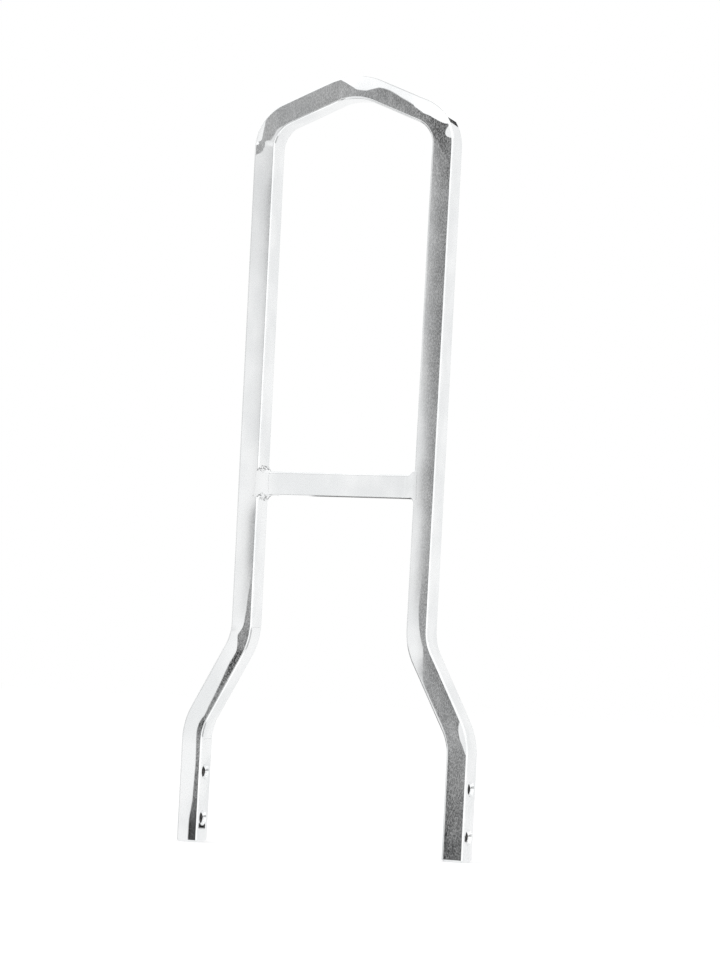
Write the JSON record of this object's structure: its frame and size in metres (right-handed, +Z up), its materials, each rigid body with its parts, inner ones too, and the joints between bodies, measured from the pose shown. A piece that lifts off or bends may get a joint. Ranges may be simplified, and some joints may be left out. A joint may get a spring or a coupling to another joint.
{
  "type": "sissy bar",
  "caption": "Chrome sissy bar: square steel bar bent into a tall hoop with a blunt peak and kicked-out bolt-on feet, stiffened by a welded crossbar",
  "frame": {"origin": "Midway between the ends of the two feet, at their lowest face, in the middle of the bar's depth", "axes": "+X across the hoop, towards the leg that stands on the right in the picture, +Y through the flat frame, away from the camera, +Z up the legs to the peak"},
  "size_m": [0.2164, 0.0158, 0.527],
  "materials": {
    "chrome_bar": "bright chrome plate over polished square steel bar",
    "chrome_weld": "chrome plate over dressed weld metal"
  },
  "bodies": {
    "root": {"hoop": "chrome_bar", "crossbar": "chrome_bar", "weld_left": "chrome_weld", "weld_right": "chrome_weld"}
  },
  "joints": []
}
